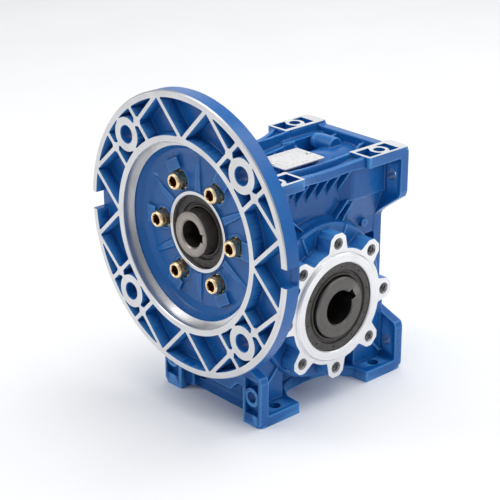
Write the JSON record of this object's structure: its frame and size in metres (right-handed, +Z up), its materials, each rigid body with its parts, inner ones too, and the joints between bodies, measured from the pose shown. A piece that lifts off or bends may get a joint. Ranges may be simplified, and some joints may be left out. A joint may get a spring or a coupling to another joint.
{
  "type": "worm gearbox",
  "caption": "Right-angle worm gearbox: painted cast housing with mounting faces all round, round motor flange with a hollow keyed input, and a hollow keyed output shaft across.",
  "frame": {"origin": "on the foot face, straight under the output shaft's axis, midway between the front and rear plates", "axes": "+X along the output shaft, the motor flange faces -Y, +Z up from the feet"},
  "size_m": [0.199, 0.167, 0.235],
  "materials": {
    "blue_paint": "semi-gloss enamel over cast aluminium, machined faces bare",
    "bare_aluminium": "machined",
    "shaft_steel": "ground and turned",
    "bearing_steel": "polished",
    "yellow_zinc": "yellow zinc plated steel",
    "dark_steel": "black oxide",
    "bronze": "turned bronze",
    "seal_rubber": "moulded nitrile",
    "cage_polymer": "moulded",
    "plate_aluminium": "satin"
  },
  "bodies": {
    "casing": {"drain_plug": "dark_steel", "drain_plug_washer": "bare_aluminium", "filler_plug": "blue_paint", "filler_plug_washer": "blue_paint", "front_bearing_outer_ring": "bearing_steel", "front_bearing_retaining_ring": "bearing_steel", "housing": "blue_paint", "input_flange": "blue_paint", "input_flange_screw_1": "yellow_zinc", "input_flange_screw_2": "yellow_zinc", "input_flange_screw_3": "yellow_zinc", "input_flange_screw_4": "yellow_zinc", "input_flange_screw_5": "yellow_zinc", "input_flange_screw_6": "yellow_zinc", "input_flange_washer_1": "yellow_zinc", "input_flange_washer_2": "yellow_zinc", "input_flange_washer_3": "yellow_zinc", "input_flange_washer_4": "yellow_zinc", "input_flange_washer_5": "yellow_zinc", "input_flange_washer_6": "yellow_zinc", "input_oil_seal": "seal_rubber", "left_bearing_outer_ring": "bearing_steel", "left_output_oil_seal": "seal_rubber", "nameplate": "plate_aluminium", "nameplate_rivet_1": "bare_aluminium", "nameplate_rivet_2": "bare_aluminium", "rear_bearing_outer_ring": "bearing_steel", "rear_bearing_retaining_ring": "bearing_steel", "rear_end_cap": "dark_steel", "right_bearing_outer_ring": "bearing_steel", "right_output_oil_seal": "seal_rubber", "side_cover": "blue_paint", "side_cover_o_ring": "seal_rubber", "side_cover_screw_1": "dark_steel", "side_cover_screw_2": "dark_steel", "side_cover_screw_3": "dark_steel", "side_cover_screw_4": "dark_steel", "side_cover_screw_5": "dark_steel", "side_cover_screw_6": "dark_steel", "side_cover_screw_7": "dark_steel", "side_cover_screw_8": "dark_steel"},
    "output": {"output_hollow_shaft": "shaft_steel", "worm_wheel_rim": "bronze", "right_bearing_inner_ring": "bearing_steel", "left_bearing_inner_ring": "bearing_steel"},
    "worm": {"worm_shaft": "shaft_steel", "front_bearing_inner_ring": "bearing_steel", "rear_bearing_inner_ring": "bearing_steel", "worm_shaft_retaining_ring": "dark_steel"},
    "right_ball_cage": {"right_bearing_ball_cage": "bearing_steel"},
    "left_ball_cage": {"left_bearing_ball_cage": "bearing_steel"},
    "front_ball_cage": {"front_bearing_ball_cage": "bearing_steel"},
    "rear_ball_cage": {"rear_bearing_ball_cage": "bearing_steel"}
  },
  "joints": [
    {"name": "output_spin", "type": "hinge", "parent": "casing", "child": "output", "pos_m": [0, 0, 0.072], "axis": [1, 0, 0], "continuous": true},
    {"name": "worm_spin", "type": "hinge", "parent": "casing", "child": "worm", "pos_m": [0, 0, 0.135], "axis": [0, 1, 0], "continuous": true},
    {"name": "right_cage_spin", "type": "hinge", "parent": "casing", "child": "right_ball_cage", "pos_m": [0.036, 0, 0.072], "axis": [1, 0, 0], "continuous": true},
    {"name": "left_cage_spin", "type": "hinge", "parent": "casing", "child": "left_ball_cage", "pos_m": [-0.036, 0, 0.072], "axis": [1, 0, 0], "continuous": true},
    {"name": "front_cage_spin", "type": "hinge", "parent": "casing", "child": "front_ball_cage", "pos_m": [0, -0.0605, 0.135], "axis": [0, 1, 0], "continuous": true},
    {"name": "rear_cage_spin", "type": "hinge", "parent": "casing", "child": "rear_ball_cage", "pos_m": [0, 0.057, 0.135], "axis": [0, 1, 0], "continuous": true}
  ],
  "couplings": [
    {"joint": "worm_spin", "follows": "output_spin", "ratio": 30},
    {"joint": "right_cage_spin", "follows": "output_spin", "ratio": 0.4325},
    {"joint": "left_cage_spin", "follows": "output_spin", "ratio": 0.4325},
    {"joint": "front_cage_spin", "follows": "output_spin", "ratio": 12.66},
    {"joint": "rear_cage_spin", "follows": "output_spin", "ratio": 11.736}
  ]
}
